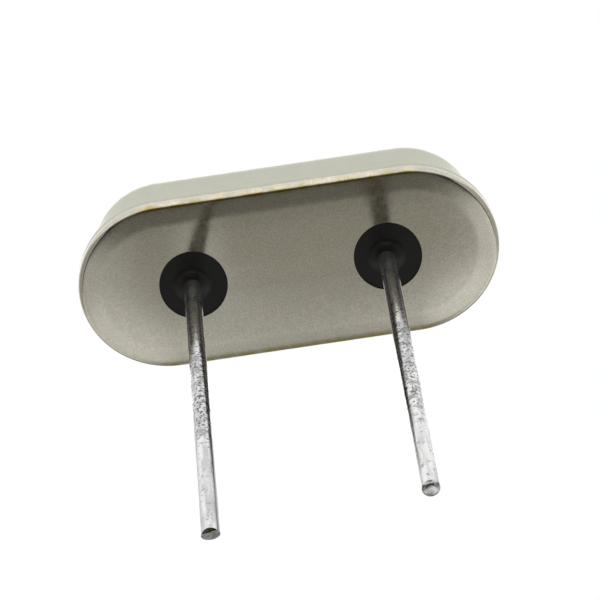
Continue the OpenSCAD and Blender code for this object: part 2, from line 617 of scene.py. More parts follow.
@dataclass(frozen=True)
class Finish:
    """What every finish has: a name, the record's slot and a base colour."""

    name: str
    slot: str
    colour: Colour

    def build(self) -> bpy.types.Material:
        """Makes the material.

        Returns:
            The material, with its surface joined to the output.
        """
        material = bpy.data.materials.new(self.name)
        material.use_nodes = True
        material.diffuse_color = (*self.colour, 1.0)
        shade = Shade(material.node_tree)
        surface = shade.add("BsdfPrincipled")
        output = shade.add("OutputMaterial")
        shade.tree.links.new(surface.outputs[0], output.inputs[0])
        self.dress(shade, surface)
        return material

    def dress(self, shade: Shade, surface: Any) -> None:
        """Sets the surface's own values and textures.

        Args:
            shade: The material's tree.
            surface: The Principled node.
        """
        raise NotImplementedError

    def shaded(self, share: float) -> Colour:
        """The base colour times a share, one at most."""
        return tuple(min(1.0, c * share) for c in self.colour)

    @staticmethod
    def link(shade: Shade, value: Any, surface: Any, name: str) -> None:
        """Joins a socket to one of the surface's inputs."""
        shade.tree.links.new(value, surface.inputs[name])


class Layer:
    """Something that covers part of a finish and leaves the rest as it is."""

    def lay(self, shade: Shade, plain: Any) -> bpy.types.NodeSocket:
        """Lays it over the colour below.

        Args:
            shade: The material's tree.
            plain: The socket of the colour below.

        Returns:
            The socket of the whole colour.
        """
        raise NotImplementedError


@dataclass(frozen=True)
class WeldEdgeAndGlint(Layer):
    """The ragged edge that the weld leaves along a flange, with a painted glint along it.

    Heights are in millimetres. Ragged ones have the rag's noise added.

    Attributes:
        bright: Colour of the painted glint on the edge.
        golden: Colour of its heat-tinted patches.
        burnt: Colour of the line along its lower border, partly heat tint and partly
            painted shade.
        bright_from: Heights between which the painted glint comes in.
        bright_to: Ragged heights between which it goes out.
        golden_to: Heights between which the golden patches thin out.
        golden_left: Share of the patches that is left above.
        burnt_from: Heights between which the burnt line comes in.
        burnt_to: Ragged heights between which it goes out.
        reach: Distances from the middle along X where the painted glint and burnt line
            fade out.
        rag: Noise that makes the edge ragged.
        rag_height: Height that the noise adds at its fullest.
        lines: Upright lines in the painted glint.
        line_share: How much of the painted glint shows between the lines and in them.
        glint_clumps: Where the painted glint is stronger.
        glint_clump_share: How much of the painted glint shows beside the clumps and in
            them.
        patches: Where the golden patches lie.
    """

    bright: Colour = (1.0, 0.92, 0.75)
    golden: Colour = (0.96, 0.79, 0.52)
    burnt: Colour = (0.45, 0.38, 0.13)
    bright_from: Tuning = (0.09, 0.12)
    bright_to: Tuning = (0.3, 0.62)
    golden_to: Tuning = (0.18, 0.42)
    golden_left: float = 0.2
    burnt_from: Tuning = (0.055, 0.08)
    burnt_to: Tuning = (0.28, 0.42)
    reach: Tuning = (3.1, 3.7)
    rag: Pattern = Pattern(4.0, 3.0)
    rag_height: float = 0.5
    lines: Pattern = Pattern(12.0, 2.0, 0.38, 0.6, (1.0, 0.3, 0.06))
    line_share: Tuning = (0.75, 1.0)
    glint_clumps: Pattern = Pattern(1.3, 3.0, 0.4, 0.6, (1.0, 0.3, 0.06))
    glint_clump_share: Tuning = (0.3, 1.0)
    patches: Pattern = Pattern(5.0, 4.0, 0.4, 0.6)

    def lay(self, shade: Shade, plain: Any) -> bpy.types.NodeSocket:
        """Lays the burnt line and then the painted glint over the plating.

        Args:
            shade: The material's tree.
            plain: The socket of the plating's colour.

        Returns:
            The socket of the whole colour.
        """
        height = shade.along(Axis.Z)
        ragged = shade.math("MULTIPLY_ADD", shade.noise(self.rag), self.rag_height, height)
        aside = shade.math("ABSOLUTE", shade.along(Axis.X))
        # the painted glint and the burnt line fade out where the flange turns round the
        # ends
        on_straight = shade.fade(aside, *self.reach, 1, 0)
        # painted glint along the flange's straight sides
        share = shade.product(
            shade.fade(height, *self.bright_from),
            shade.fade(ragged, *self.bright_to, 1, 0),
            shade.span(shade.noise(self.lines), self.lines, *self.line_share),
            shade.span(shade.noise(self.glint_clumps), self.glint_clumps, *self.glint_clump_share),
            on_straight,
        )
        golden = shade.product(
            shade.span(shade.noise(self.patches), self.patches),
            shade.fade(height, *self.golden_to, 1, self.golden_left),
        )
        # burnt line: heat tint and painted shade along the lower border
        burnt = shade.product(
            shade.fade(height, *self.burnt_from),
            shade.fade(ragged, *self.burnt_to, 1, 0),
            on_straight,
        )
        beside = shade.blend(burnt, plain, self.burnt)
        return shade.blend(share, beside, shade.blend(golden, self.bright, self.golden))


@dataclass(frozen=True)
class SideShade(Layer):
    """Painted shade along the sides of the leads' lower parts, strongest on the side
    facing the other lead.

    How a side faces is given from minus one, towards the other lead, to one, away
    from it.

    Attributes:
        colour: Colour of the painted shade.
        up_to: Heights between which the painted shade goes out, in millimetres.
        inner: How the inner side faces where the scuffing goes out.
        outer: How the outer side faces where it comes in.
        outer_share: Share of the painted shade that the outer side has.
        shares: Share that shows on the lead at -X and on that at +X.
        between: Places along X between which the one turns into the other.
    """

    colour: Colour = (0.26, 0.25, 0.28)
    up_to: Tuning = (-9.5, -7.0)
    inner: Tuning = (-0.9, -0.45)
    outer: Tuning = (0.45, 0.9)
    outer_share: float = 0.45
    shares: Tuning = (1.0, 0.2)
    between: Tuning = (-1.0, 1.0)

    def lay(self, shade: Shade, plain: Any) -> bpy.types.NodeSocket:
        """Lays the painted shade over the tin.

        Args:
            shade: The material's tree.
            plain: The socket of the tin's colour.

        Returns:
            The socket of the whole colour.
        """
        across = shade.along(Axis.X)
        # painted shade: darker on the side of each lead that faces the other lead
        outward = shade.math("MULTIPLY", shade.facing(Axis.X), shade.math("SIGN", across))
        inner = shade.fade(outward, *self.inner, 1, 0)
        outer = shade.fade(outward, *self.outer, 0, self.outer_share)
        share = shade.product(
            shade.math("ADD", inner, outer),
            shade.fade(shade.along(Axis.Z), *self.up_to, 1, 0),
            shade.fade(across, *self.between, *self.shares),
        )
        return shade.blend(share, plain, self.colour)


@dataclass(frozen=True)
class CutEnd(Layer):
    """The metal that the cutters have rolled and torn at a lead's end, with painted shade
    on a flat end's rounded rim.

    How far down it faces is given as one for straight down.

    Attributes:
        dark: Colour where it is darkest.
        pale: Colour of its paler smears.
        rim: How far down it faces where the torn metal and painted shade come in.
        flat: How far down it faces where the metal is untouched again.
        smears: Where the smears lie.
    """

    dark: Colour = (0.17, 0.17, 0.178)
    pale: Colour = (0.62, 0.62, 0.625)
    rim: Tuning = (0.1, 0.35)
    flat: Tuning = (0.96, 0.99)
    smears: Pattern = Pattern(7.0, 3.0, 0.36, 0.58)

    def lay(self, shade: Shade, plain: Any) -> bpy.types.NodeSocket:
        """Lays the torn metal and painted shade over the tin.

        Args:
            shade: The material's tree.
            plain: The socket of the tin's colour.

        Returns:
            The socket of the whole colour.
        """
        # darker by how far a face points down: torn metal on the cut faces, painted shade
        # on the rounded rim
        down = shade.math("MULTIPLY", shade.facing(Axis.Z), -1.0)
        share = shade.product(
            shade.fade(down, *self.flat, 1, 0), shade.fade(down, *self.rim)
        )
        smeared = shade.span(shade.noise(self.smears), self.smears)
        return shade.blend(share, plain, shade.blend(smeared, self.dark, self.pale))


@dataclass(frozen=True, kw_only=True)
class SatinNickel(Finish):
    """Satin nickel plating on rolled sheet: soft mottling, fine flecks and a fine grain.

    Attributes:
        mottle: The second colour of the cloudy mottling.
        roughness: Lowest and highest roughness.
        fleck: Share by which the flecks are lighter and darker.
        grain: How far the fine grain stands out.
        clouds: Where the second colour lies.
        flecks: Where the flecks and the grain lie.
        wear: Where the plating is rougher.
    """

    mottle: Colour
    roughness: Tuning
    fleck: float
    grain: Relief
    clouds: Pattern = Pattern(1.6, 4.0, 0.35, 0.65)
    flecks: Pattern = Pattern(20.0, 2.0)
    wear: Pattern = Pattern(5.0, 4.0)

    def dress(self, shade: Shade, surface: Any) -> None:
        """Sets the nickel's colour, flecks, roughness and grain.

        Args:
            shade: The material's tree.
            surface: The Principled node.
        """
        clouds = shade.span(shade.noise(self.clouds), self.clouds)
        fine = shade.noise(self.flecks)
        flecks = shade.span(fine, self.flecks, 1 - self.fleck, 1 + self.fleck)
        plating = shade.blend(clouds, self.colour, self.mottle)
        surface.inputs["Metallic"].default_value = 1.0
        self.link(shade, shade.dim(plating, flecks), surface, "Base Color")
        worn = shade.span(shade.noise(self.wear), self.wear, *self.roughness)
        self.link(shade, worn, surface, "Roughness")
        self.link(shade, shade.bump(fine, self.grain), surface, "Normal")


@dataclass(frozen=True, kw_only=True)
class WeldedNickel(SatinNickel):
    """Satin nickel with a weld along its flange and a painted glint along the weld.

    Attributes:
        edge: The edge that the weld leaves, with its painted glint.
    """

    edge: WeldEdgeAndGlint = WeldEdgeAndGlint()

    def dress(self, shade: Shade, surface: Any) -> None:
        """Sets the nickel and lays the weld's edge, with its painted glint, over it.

        Args:
            shade: The material's tree.
            surface: The Principled node.
        """
        super().dress(shade, surface)
        plain = surface.inputs["Base Color"].links[0].from_socket
        self.link(shade, self.edge.lay(shade, plain), surface, "Base Color")


@dataclass(frozen=True, kw_only=True)
class CoinedNickel(WeldedNickel):
    """Welded nickel on a face that waves very slightly beside the seals.

    Attributes:
        waves: Middle of each wave along X in millimetres, and its slope in degrees.
        wave_reach: Distance from a wave's middle to its crest, in millimetres.
        wave_span: Where along Y the waves start to fade and have faded.
        wave_relief: The waves' heights, taken as millimetres.
    """

    waves: tuple[Tuning, ...]
    wave_reach: float
    wave_span: Tuning
    wave_relief: Relief = Relief(1.0, 1.0)

    def dress(self, shade: Shade, surface: Any) -> None:
        """Sets the nickel and raises the waves on top of its grain.

        Args:
            shade: The material's tree.
            surface: The Principled node.
        """
        super().dress(shade, surface)
        across = shade.along(Axis.X)
        height: Any = 0.0
        for middle, slope in self.waves:
            share = 1 / self.wave_reach
            out = shade.math("MULTIPLY_ADD", across, share, -middle * share)
            swell = shade.math("EXPONENT", shade.product(out, out, -0.5))
            rise = math.tan(math.radians(slope)) * self.wave_reach
            wave = shade.math("MULTIPLY", out, swell)
            height = shade.math("MULTIPLY_ADD", wave, rise, height)
        shown = shade.fade(shade.along(Axis.Y), *self.wave_span, 1, 0)
        waved = shade.math("MULTIPLY", height, shown)
        grain = surface.inputs["Normal"].links[0].from_socket
        self.link(shade, shade.bump(waved, self.wave_relief, grain), surface, "Normal")


@dataclass(frozen=True)
class SealGlass(Finish):
    """Fired black glass: satin, with a faint waviness where it has flowed.

    Attributes:
        shadow: Brightness of the darker streaks, as a share of the base colour.
        roughness: Roughness all over.
        specular: Strength of its plain reflection.
        streaks: Where the glass has flowed.
        flow: How far the flow stands out.
    """

    shadow: float = 0.5
    roughness: float = 0.32
    specular: float = 0.25
    streaks: Pattern = Pattern(3.0, 3.0)
    flow: Relief = Relief(0.4, 0.01)

    def dress(self, shade: Shade, surface: Any) -> None:
        """Sets the glass's colour, gloss and waviness.

        Args:
            shade: The material's tree.
            surface: The Principled node.
        """
        streaks = shade.noise(self.streaks)
        dark = self.shaded(self.shadow)
        self.link(shade, shade.blend(streaks, self.colour, dark), surface, "Base Color")
        surface.inputs["Roughness"].default_value = self.roughness
        surface.inputs["Specular IOR Level"].default_value = self.specular
        self.link(shade, shade.bump(streaks, self.flow), surface, "Normal")


@dataclass(frozen=True)
class TinnedWire(Finish):
    """Hot-tinned wire: bright, streaked along, pitted halfway and dull at its root.

    Heights are in millimetres above the seating plane.

    Attributes:
        streak: Colour of the grey streaks along the wire.
        dull: Colour of the wire beside the glass.
        blotch: Colour of the clouded patches.
        pit: Colour at the bottom of a pit.
        side_shade: The painted shade along the sides of the lower part.
        end: The torn metal and painted shade of the cut end.
        streaks: Where the streaks lie.
        gloss: The streaks' noise at the lowest and at the highest roughness.
        roughness: Lowest and highest roughness of the bright tin.
        crumbs: Where the pits lie.
        clouds: Where the clouded patches lie.
        thick_from: Heights between which the pits and patches thicken.
        thick_to: Heights between which they thin out.
        thicker: How much is added to their noise between those.
        root: Heights between which the wire dulls.
        root_roughness: Roughness that the dull root adds.
        ripple: How far the streaks stand out.
        hollow: How deep the pits are.
    """

    streak: Colour
    dull: Colour
    blotch: Colour
    pit: Colour
    side_shade: SideShade = SideShade()
    end: CutEnd = CutEnd()
    streaks: Pattern = Pattern(7.0, 3.0, 0.4, 0.64, (1.0, 1.0, 0.1))
    gloss: Tuning = (0.3, 0.7)
    roughness: Tuning = (0.12, 0.22)
    crumbs: Pattern = Pattern(15.0, 4.0, 0.62, 0.72, (1.0, 1.0, 0.7))
    clouds: Pattern = Pattern(7.0, 4.0, 0.52, 0.74)
    thick_from: Tuning = (-9.5, -7.5)
    thick_to: Tuning = (-4.5, -3.0)
    thicker: float = 0.11
    root: Tuning = (-1.6, -0.5)
    root_roughness: float = 0.22
    ripple: Relief = Relief(0.4, 0.015)
    hollow: Relief = Relief(0.15, 0.012)

    def dress(self, shade: Shade, surface: Any) -> None:
        """Sets the tin's colour, roughness, streaks and pits.

        Args:
            shade: The material's tree.
            surface: The Principled node.
        """
        height = shade.along(Axis.Z)
        added = shade.product(
            shade.fade(height, *self.thick_from),
            shade.fade(height, *self.thick_to, 1, 0),
            self.thicker,
        )
        level = shade.math("ADD", shade.noise(self.crumbs), added)
        cloudy = shade.math("ADD", shade.noise(self.clouds), added)
        streaks = shade.noise(self.streaks)
        root = shade.fade(height, *self.root)
        tinned = shade.blend(shade.span(streaks, self.streaks), self.colour, self.streak)
        tinned = shade.blend(shade.span(cloudy, self.clouds), tinned, self.blotch)
        tinned = shade.blend(root, tinned, self.dull)
        # painted shade along the lower sides, then the cut end's torn metal and painted
        # shade
        tinned = self.end.lay(shade, self.side_shade.lay(shade, tinned))
        tinned = shade.blend(shade.span(level, self.crumbs), tinned, self.pit)
        surface.inputs["Metallic"].default_value = 1.0
        self.link(shade, tinned, surface, "Base Color")
        rough = shade.fade(streaks, *self.gloss, *self.roughness)
        duller = shade.math("MULTIPLY", root, self.root_roughness)
        self.link(shade, shade.math("ADD", rough, duller), surface, "Roughness")
        ripple = shade.bump(streaks, self.ripple)
        deep = shade.math("SUBTRACT", 1.0, level)
        self.link(shade, shade.bump(deep, self.hollow, ripple), surface, "Normal")


@dataclass(frozen=True)
class SpringStrip(Finish):
    """Cold-rolled spring strip with faint rolling lines along X.

    Attributes:
        shadow: Brightness of the lines, as a share of the base colour.
        roughness: Lowest and highest roughness.
        lines: Where the rolling lines lie.
        groove: How far they stand out.
    """

    shadow: float = 0.86
    roughness: Tuning = (0.2, 0.34)
    lines: Pattern = Pattern(30.0, 2.0, squeeze=(0.08, 1.0, 1.0))
    groove: Relief = Relief(0.4, 0.004)

    def dress(self, shade: Shade, surface: Any) -> None:
        """Sets the strip's colour, sheen and rolling lines.

        Args:
            shade: The material's tree.
            surface: The Principled node.
        """
        lines = shade.noise(self.lines)
        dark = self.shaded(self.shadow)
        surface.inputs["Metallic"].default_value = 1.0
        self.link(shade, shade.blend(lines, self.colour, dark), surface, "Base Color")
        worn = shade.span(lines, self.lines, *self.roughness)
        self.link(shade, worn, surface, "Roughness")
        self.link(shade, shade.bump(lines, self.groove), surface, "Normal")


@dataclass(frozen=True)
class LappedQuartz(Finish):
    """Clear quartz with a lapped, etched surface.

    Attributes:
        alpha: How solid the quartz looks.
        refraction: Its index of refraction.
        glint: Brightness of the paler etching, as a share of the base colour.
        roughness: Lowest and highest roughness.
        etching: Where the etching lies.
        etched: How far it stands out.
    """

    alpha: float = 0.4
    refraction: float = 1.54
    glint: float = 1.05
    roughness: Tuning = (0.22, 0.4)
    etching: Pattern = Pattern(40.0, 2.0)
    etched: Relief = Relief(0.3, 0.002)

    def dress(self, shade: Shade, surface: Any) -> None:
        """Sets the quartz's clearness and etched haze.

        Args:
            shade: The material's tree.
            surface: The Principled node.
        """
        etch = shade.noise(self.etching)
        pale = self.shaded(self.glint)
        self.link(shade, shade.blend(etch, self.colour, pale), surface, "Base Color")
        surface.inputs["Alpha"].default_value = self.alpha
        surface.inputs["IOR"].default_value = self.refraction
        haze = shade.span(etch, self.etching, *self.roughness)
        self.link(shade, haze, surface, "Roughness")
        self.link(shade, shade.bump(etch, self.etched), surface, "Normal")


@dataclass(frozen=True)
class MetalFilm(Finish):
    """Evaporated metal film, mirror bright with faint clouding.

    Attributes:
        warm: Colour of the warmer clouds.
        roughness: Lowest and highest roughness.
        clouds: Where the clouds lie.
    """

    warm: Colour
    roughness: Tuning = (0.08, 0.2)
    clouds: Pattern = Pattern(2.5, 3.0)

    def dress(self, shade: Shade, surface: Any) -> None:
        """Sets the film's colour and clouding.

        Args:
            shade: The material's tree.
            surface: The Principled node.
        """
        cloud = shade.noise(self.clouds)
        surface.inputs["Metallic"].default_value = 1.0
        clouded = shade.blend(cloud, self.colour, self.warm)
        self.link(shade, clouded, surface, "Base Color")
        haze = shade.span(cloud, self.clouds, *self.roughness)
        self.link(shade, haze, surface, "Roughness")


@dataclass(frozen=True)
class FilledAdhesive(Finish):
    """Cured adhesive full of metal flakes: dull, with small glints.

    Attributes:
        glint: Brightness of the flakes, as a share of the base colour.
        metal: How metallic the flakes are.
        roughness: Roughness all over.
        flakes: Where the flakes lie.
        lumps: How far they stand out.
    """

    glint: float = 1.5
    metal: float = 0.6
    roughness: float = 0.55
    flakes: Pattern = Pattern(45.0, 1.0, 0.52, 0.64)
    lumps: Relief = Relief(0.5, 0.01)

    def dress(self, shade: Shade, surface: Any) -> None:
        """Sets the adhesive's grey, flakes and lumps.

        Args:
            shade: The material's tree.
            surface: The Principled node.
        """
        flakes = shade.span(shade.noise(self.flakes), self.flakes)
        light = self.shaded(self.glint)
        self.link(shade, shade.blend(flakes, self.colour, light), surface, "Base Color")
        metal = shade.math("MULTIPLY", flakes, self.metal)
        self.link(shade, metal, surface, "Metallic")
        surface.inputs["Roughness"].default_value = self.roughness
        self.link(shade, shade.bump(flakes, self.lumps), surface, "Normal")


# ---------------------------------------------------------------- the pieces


@dataclass
class Can:
    """The drawn can: a flat top, a straight wall and a flange bent out for the weld.

    Attributes:
        half_straight: Half the length of the straight sides.
        wall_out: Distance of the wall from the spine.
        flange_out: Distance of the flange's edge from the spine.
        top: Height of the top.
        joint: Height at which the flange meets the base's.
        sheet: Thickness of the sheet.
        top_radius: Rounding round the top, outside.
        root_radius: Rounding from the wall to the flange, outside.
        edge_radius: Rounding of the flange's upper edge.
        joint_radius: Rounding of its edge at the joint.
        flat_out: Distance from the spine at which one face fills the flats.
        turns: Number of facets in a full turn.
    """

    half_straight: float = HALF_STRAIGHT
    wall_out: float = 1.85
    flange_out: float = FLANGE_OUT
    top: float = 3.15
    joint: float = JOINT
    sheet: float = 0.2
    top_radius: float = 1.0
    root_radius: float = 0.12
    edge_radius: float = 0.02
    joint_radius: float = JOINT_RADIUS
    flat_out: float = 0.5
    turns: int = 258

    def section(self) -> list[Corner]:
        """Lays out the half section.

        Returns:
            Its corners, from the inside of the top round to its outside.
        """
        inside = self.wall_out - self.sheet
        under_top = self.top - self.sheet
        flange_top = self.joint + self.sheet
        return [
            Corner(self.flat_out, under_top),
            Corner(inside, under_top, self.top_radius - self.sheet),
            Corner(inside, self.joint, self.root_radius + self.sheet),
            Corner(self.flange_out, self.joint, self.joint_radius, Facets.SEAM),
            Corner(self.flange_out, flange_top, self.edge_radius, Facets.EDGE),
            Corner(self.wall_out, flange_top, self.root_radius),
            Corner(self.wall_out, self.top, self.top_radius, Facets.SHOULDER),
            Corner(self.flat_out, self.top),
        ]

    def build(self, finish: Finish) -> bpy.types.Object:
        """Models the can and dresses it.

        Args:
            finish: The finish of the drawn sheet.

        Returns:
            The finished piece.
        """
        piece = Bench.draw_section("can_shell", self.section(), closed=False)
        Bench.spin(piece, self.turns)
        Bench.draw_apart(piece, self.half_straight)
        Bench.fill_flat(piece, self.top)
        Bench.fill_flat(piece, self.top - self.sheet)
        return settle(Bench.finish(piece), finish, "can")


@dataclass(frozen=True)
class Oval:
    """The slightly oval outline that pressing and firing leave round a seal.

    Attributes:
        wide: Share of the nominal radius along X.
        deep: Share of it along Y.
        aside: How far its middle lies towards +X from the lead, in millimetres.
    """

    wide: float = 0.945
    deep: float = 1.02
    aside: float = 0.03

    def pull(self) -> None:
        """Pulls the selected circle round the Z axis to the oval."""
        bpy.ops.transform.resize(
            value=(self.wide, self.deep, 1), center_override=(0, 0, 0)
        )
        bpy.ops.transform.translate(value=(self.aside, 0, 0))


@dataclass(frozen=True)
class Rings:
    """Evenly spaced rings of vertices round the coined face.

    Attributes:
        first: Distance of the first ring from the spine.
        gap: Distance from one ring to the next.
        count: Number of rings.
    """

    first: float
    gap: float
    count: int

    def places(self) -> list[float]:
        """The distance of each ring from the spine."""
        return [self.first + self.gap * i for i in range(self.count)]


@dataclass
class BasePlate:
    """The coined base: crowned underside, sloping rim, weld flange and raised platform.

    Attributes:
        half_straight: Half the length of the straight sides.
        rim_out: Distance of the edge from the spine.
        edge_radius: Rounding from the rim to the edge.
        flange_top: Height at which the flange meets the can's.
        flange_edge: Rounding of its edge there.
        platform_out: Distance of the platform's side from the spine.
        platform_root: Rounding at the platform's foot.
        platform_edge: Rounding of its upper edge.
        height: Height of the platform.
        lead_x: Distance of the holes from the middle, along X.
        hole_radius: Nominal radius of the holes.
        hole_oval: Their outline.
        drill_length: Length of the form that cuts them.
        flat_out: Distance from the spine at which one face fills the flats.
        rings: The rings that shape the crown and the rim, the first at flat_out.
        slopes: Distances from the spine, and the underside's slope there in degrees.
        turns: Number of facets in a full turn.
        hole_turns: Number of facets round a hole.
        smooth: Edges that turn by more degrees than this stay sharp.
    """

    half_straight: float = HALF_STRAIGHT
    rim_out: float = FLANGE_OUT
    edge_radius: float = 0.14
    flange_top: float = JOINT
    flange_edge: float = JOINT_RADIUS
    platform_out: float = 1.6
    platform_root: float = 0.05
    platform_edge: float = 0.12
    height: float = PLATFORM
    lead_x: float = LEAD_X
    hole_radius: float = HOLE_RADIUS
    hole_oval: Oval = Oval()
    drill_length: float = 4.0
    flat_out: float = 0.3
    rings: tuple[Rings, ...] = (
        Rings(0.3, 0.08, 16),
        Rings(1.56, 0.025, 11),
        Rings(1.85, 0.05, 5),
    )
    slopes: tuple[Tuning, ...] = (
        (0.3, 0.0),
        (0.4, 0.53),
        (0.9, 1.2),
        (1.3, 1.84),
        (1.5, 2.25),
        (1.62, 2.35),
        (1.67, 2.7),
        (1.72, 3.5),
        (1.78, 4.35),
        (1.9, 4.6),
        (2.0, 4.85),
        (2.1, 5.2),
        (2.3, 6.8),
    )
    turns: int = 258
    hole_turns: int = 160
    smooth: float = 25.0

    def slope(self, out: float) -> float:
        """Finds how steep the coined underside is.

        Args:
            out: Distance from the spine.

        Returns:
            Its slope there in degrees.
        """
        for (near, flat), (far, steep) in zip(self.slopes, self.slopes[1:]):
            if out <= far:
                share = max(0.0, out - near) / (far - near)
                return flat + (steep - flat) * share
        return self.slopes[-1][1]

    def coined(self, out: float, steps: int = 60) -> float:
        """Adds up the slopes of the coined underside.

        Args:
            out: Distance from the spine.
            steps: Number of steps to add up.

        Returns:
            Its height there.
        """
        width = (out - self.flat_out) / steps
        middles = (self.flat_out + width * (i + 0.5) for i in range(steps))
        return sum(math.tan(math.radians(self.slope(m))) * width for m in middles)

    def section(self) -> list[Corner]:
        """Lays out the half section.

        Returns:
            Its corners, from the underside round to the top of the platform.
        """
        edge = self.coined(self.rim_out)
        face = [out for rings in self.rings for out in rings.places()]
        return [
            *(Corner(out, self.coined(out)) for out in face),
            Corner(self.rim_out, edge, self.edge_radius, Facets.RIM),
            Corner(self.rim_out, self.flange_top, self.flange_edge, Facets.SEAM),
            Corner(self.platform_out, self.flange_top, self.platform_root, Facets.STEP),
            Corner(self.platform_out, self.height, self.platform_edge, Facets.EDGE),
            Corner(self.flat_out, self.height),
        ]

    def drill(self, piece: bpy.types.Object, side: Side) -> None:
        """Cuts the hole for one seal.

        Args:
            piece: The plate, in edit mode.
            side: The end that the hole is at.
        """
        Bench.clear()
        bpy.ops.mesh.primitive_cylinder_add(
            vertices=self.hole_turns, radius=self.hole_radius, depth=self.drill_length
        )
        cutter = bpy.context.object
        Bench.edit(cutter)
        bpy.ops.mesh.select_all(action="SELECT")
        self.hole_oval.pull()
        Bench.shift(side.value * self.lead_x)
        Bench.cut(piece, cutter)

    def build(self, finish: Finish) -> bpy.types.Object:
        """Models the plate and dresses it.

        Args:
            finish: The finish of the coined plate.

        Returns:
            The finished piece.
        """
        piece = Bench.draw_section("base_plate", self.section(), closed=False)
        Bench.spin(piece, self.turns)
        Bench.draw_apart(piece, self.half_straight)
        Bench.fill_flat(piece, 0)
        Bench.fill_flat(piece, self.height)
        Bench.face_out(piece)
        for side in Side:
            self.drill(piece, side)
        return settle(Bench.finish(piece, self.smooth), finish, "base")


@dataclass
class GlassSeal:
    """A ring of glass fused between the base and a lead, with a collar on the lead.

    Attributes:
        lead_x: Distance of the lead from the middle, along X.
        lead_radius: Radius of the lead at the underside.
        head_radius: Radius of the lead at the top of the glass.
        radius: Nominal radius of the glass.
        oval: Its outline.
        dish: How far the glass lies inside the metal, at both ends.
        height: Height of the metal round it.
        top: Height of the glass at the lead.
        collar_height: How far the glass climbs down the lead, below the underside.
        collar_width: How far it has spread at the foot of the collar.
        collar_lip: Width of the collar's end.
        collar_blend: Rounding at its foot.
        turns: Number of facets in a full turn.
        smooth: Edges that turn by more degrees than this stay sharp.
    """

    lead_x: float = LEAD_X
    lead_radius: float = LEAD_RADIUS
    head_radius: float = 0.235
    radius: float = HOLE_RADIUS
    oval: Oval = Oval()
    dish: float = 0.04
    height: float = PLATFORM
    top: float = HEAD_FROM
    collar_height: float = 0.1
    collar_width: float = 0.22
    collar_lip: float = 0.03
    collar_blend: float = 0.2
    turns: int = 160
    smooth: float = 50.0

    def section(self) -> list[Corner]:
        """Lays out the closed half section of the ring.

        Returns:
            Its corners, lower end first.
        """
        collar = self.lead_radius + self.collar_width
        return [
            Corner(self.lead_radius, -self.collar_height),
            Corner(self.lead_radius + self.collar_lip, -self.collar_height),
            Corner(collar, self.dish, self.collar_blend, Facets.RIM),
            Corner(self.radius, self.dish),
            Corner(self.radius, self.height - self.dish),
            Corner(collar, self.height - self.dish, self.collar_blend, Facets.RIM),
            Corner(self.head_radius + self.collar_lip, self.top),
            Corner(self.head_radius, self.top),
        ]

    def build(self, side: Side, finish: Finish) -> bpy.types.Object:
        """Models one seal and dresses it.

        Args:
            side: The end that the seal is at.
            finish: The finish of the glass.

        Returns:
            The finished piece.
        """
        name = f"seal_ring_{side.index}"
        piece = Bench.draw_section(name, self.section(), closed=True)
        Bench.spin(piece, self.turns)
        Bench.select(piece, lambda v: v.co.xy.length > self.radius - TOUCH, "VERT")
        self.oval.pull()
        Bench.shift(side.value * self.lead_x)
        ring = Bench.finish(piece, self.smooth)
        return settle(ring, finish, f"glass_seal_{side.index}")


@dataclass(frozen=True)
class Bite:
    """One flat that the cutters leave across the end of a lead.

    Attributes:
        lowest: How far along Y from the wire's middle the flat is lowest.
        forward: Degrees that the flat rises towards +Y.
        across: Degrees that the flat rises towards +X.
    """

    lowest: float
    forward: float
    across: float = 0.0

    def facing(self) -> Vector:
        """The direction that the flat faces, one unit long."""
        lean = (math.tan(math.radians(v)) for v in (self.across, self.forward))
        return Vector((*lean, -1.0)).normalized()


